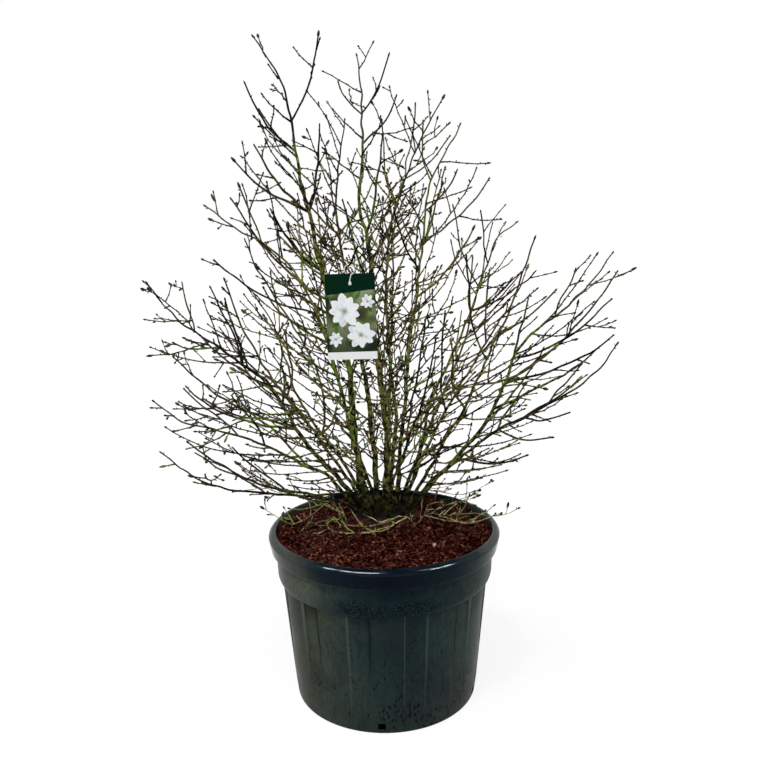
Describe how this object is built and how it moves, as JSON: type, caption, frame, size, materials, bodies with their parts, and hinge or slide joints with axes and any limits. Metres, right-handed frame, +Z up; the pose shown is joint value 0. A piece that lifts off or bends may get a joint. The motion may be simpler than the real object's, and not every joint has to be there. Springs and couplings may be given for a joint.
{
  "type": "potted star magnolia",
  "caption": "Bare multi-stemmed winter shrub with fine twigs and buds, in a round fluted nursery container of soil, with a hanging plant label.",
  "frame": {"origin": "middle of the container's flat underside", "axes": "+Z up along the container's axis, -Y towards the side where the label hangs, +X to the right of that side"},
  "size_m": [0.972, 0.782, 1.3807],
  "materials": {
    "container": "moulded recycled plastic, satin, slightly dusty",
    "soil": "loose reddish bark and peat mix",
    "root_crown": "rough dark bark",
    "bark": "olive-brown bark with green algae",
    "young_bark": "thin pale green and tan bark",
    "label_card": "printed plastic card, satin",
    "strap": "white moulded plastic"
  },
  "bodies": {
    "root": {"container": "container", "potting_soil": "soil", "root_crown": "root_crown", "plant_label": "label_card", "label_strap": "strap", "stem_01": "bark", "stem_02": "bark", "stem_03": "bark", "stem_04": "bark", "stem_05": "bark", "stem_06": "bark", "stem_07": "bark", "stem_08": "bark", "stem_09": "bark", "stem_10": "bark", "stem_11": "bark", "stem_12": "bark", "stem_13": "bark", "stem_14": "bark", "stem_15": "bark", "stem_16": "bark", "stem_17": "bark", "stem_18": "bark", "stem_19": "bark", "stem_20": "bark", "low_shoot_01": "young_bark", "low_shoot_02": "young_bark", "low_shoot_03": "young_bark", "low_shoot_04": "young_bark", "low_shoot_05": "young_bark", "low_shoot_06": "young_bark", "low_shoot_07": "young_bark"}
  },
  "joints": []
}
